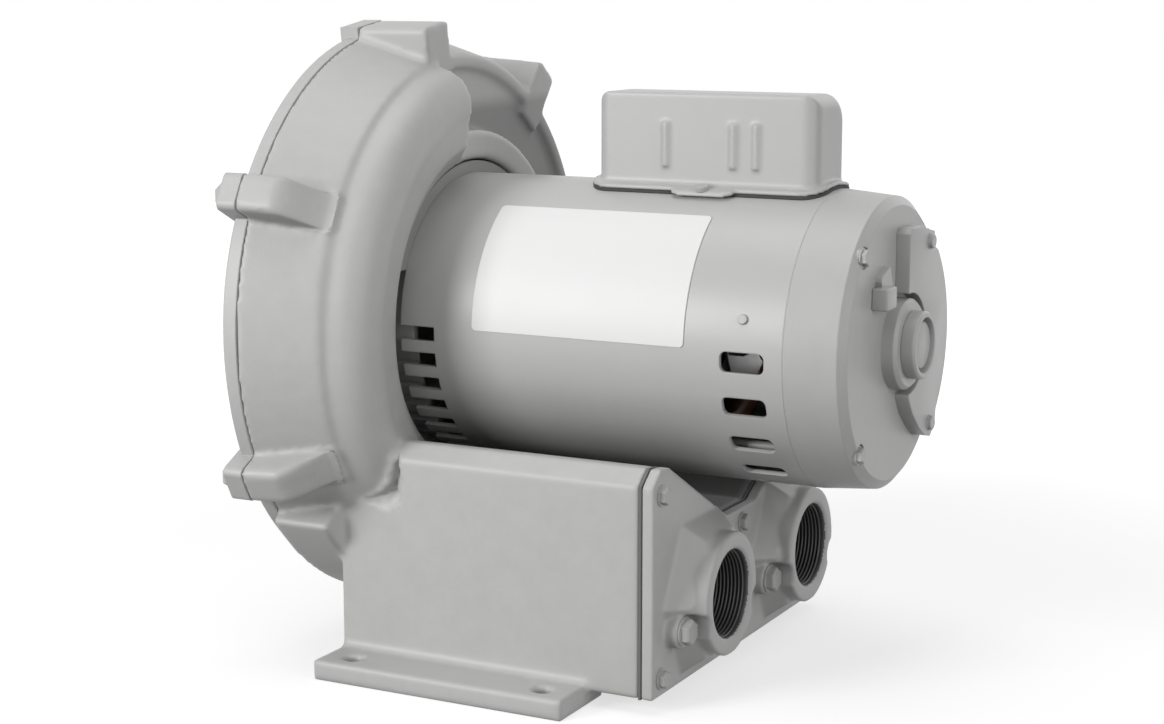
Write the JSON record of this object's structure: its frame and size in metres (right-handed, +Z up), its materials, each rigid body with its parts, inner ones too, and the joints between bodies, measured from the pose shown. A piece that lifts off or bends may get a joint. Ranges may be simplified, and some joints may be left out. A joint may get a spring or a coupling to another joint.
{
  "type": "side channel blower",
  "caption": "Side channel blower: a bladed impeller in a round cast housing on a manifold box with two feet and two threaded ports, driven by a single-phase motor with a capacitor cover.",
  "frame": {"origin": "middle of the four foot bolts, on the surface the feet stand on", "axes": "+X along the motor shaft from the blower to the motor rear end, the way the ports face, +Y to the outlet port side, +Z up"},
  "size_m": [0.3612, 0.3456, 0.3614],
  "materials": {
    "cast_paint": "semi-matt grey paint on rough aluminium casting",
    "shell_paint": "smooth semi-gloss grey paint on sheet steel",
    "shield_paint": "semi-matt grey paint on a die casting",
    "cover_paint": "smooth grey paint on pressed steel",
    "zinc_bolts": "zinc plated",
    "painted_bolts": "painted over",
    "steel": "turned",
    "bearing_steel": "ground and polished",
    "laminations": "stacked sheet edges",
    "copper": "enamelled copper wire",
    "cast_aluminium": "as cast, machined faces",
    "rubber": "matt",
    "gasket": "compressed fibre and rubber",
    "foam": "open-cell foam",
    "label_white": "blank white lacquer on foil",
    "dark_plastic": "moulded",
    "brown_board": "insulating board",
    "capacitor_black": "moulded case"
  },
  "bodies": {
    "blower": {"blower_housing": "cast_paint", "impeller_cover": "cast_paint", "cover_bolts": "painted_bolts", "shaft_seal": "rubber", "motor_mount_bolts": "zinc_bolts", "manifold_cover": "cast_paint", "manifold_gasket": "gasket", "manifold_bolts": "painted_bolts", "inlet_silencer": "foam", "outlet_silencer": "foam", "motor_shell": "shell_paint", "front_end_shield": "shield_paint", "rear_end_shield": "shield_paint", "stator_core": "laminations", "stator_winding": "copper", "front_bearing_outer": "bearing_steel", "rear_bearing_outer": "bearing_steel", "wave_spring": "steel", "start_switch": "brown_board", "through_bolts": "zinc_bolts", "bearing_cap": "shield_paint", "terminal_cover": "cover_paint", "terminal_cover_screws": "zinc_bolts", "terminal_board": "brown_board", "capacitor_cover": "cover_paint", "capacitor_gasket": "gasket", "capacitor_cover_screws": "zinc_bolts", "start_capacitor": "capacitor_black", "capacitor_straps": "steel", "nameplate": "label_white"},
    "rotor": {"impeller": "cast_aluminium", "impeller_bolt": "zinc_bolts", "impeller_washer": "zinc_bolts", "impeller_spacer": "steel", "shaft_key": "steel", "motor_shaft": "steel", "rotor_core": "laminations", "cooling_fan": "dark_plastic", "front_bearing_inner": "bearing_steel", "rear_bearing_inner": "bearing_steel", "governor_plate": "steel"},
    "front_balls": {"front_bearing_balls": "bearing_steel", "front_bearing_cage": "dark_plastic"},
    "rear_balls": {"rear_bearing_balls": "bearing_steel", "rear_bearing_cage": "dark_plastic"},
    "collar": {"governor_collar": "dark_plastic"},
    "weight_a": {"governor_weight_a": "steel"},
    "weight_b": {"governor_weight_b": "steel"}
  },
  "joints": [
    {"name": "rotor_spin", "type": "hinge", "parent": "blower", "child": "rotor", "pos_m": [0, 0, 0.19], "axis": [1, 0, 0], "continuous": true},
    {"name": "front_balls_spin", "type": "hinge", "parent": "blower", "child": "front_balls", "pos_m": [0, 0, 0.19], "axis": [1, 0, 0], "continuous": true},
    {"name": "rear_balls_spin", "type": "hinge", "parent": "blower", "child": "rear_balls", "pos_m": [0, 0, 0.19], "axis": [1, 0, 0], "continuous": true},
    {"name": "weight_a_swing", "type": "hinge", "parent": "rotor", "child": "weight_a", "pos_m": [0.1248, -0.024, 0.19], "axis": [0, 0, 1], "range_deg": [0, 20]},
    {"name": "weight_b_swing", "type": "hinge", "parent": "rotor", "child": "weight_b", "pos_m": [0.1248, 0.024, 0.19], "axis": [0, 0, 1], "range_deg": [-20, 0]},
    {"name": "collar_slide", "type": "slide", "parent": "rotor", "child": "collar", "axis": [-1, 0, 0], "range_m": [0, 0.0035]}
  ],
  "couplings": [
    {"joint": "front_balls_spin", "follows": "rotor_spin", "ratio": 0.3912},
    {"joint": "rear_balls_spin", "follows": "rotor_spin", "ratio": 0.3911},
    {"joint": "weight_b_swing", "follows": "weight_a_swing", "ratio": -1},
    {"joint": "collar_slide", "follows": "weight_a_swing", "m_per_rad": 0.01}
  ]
}
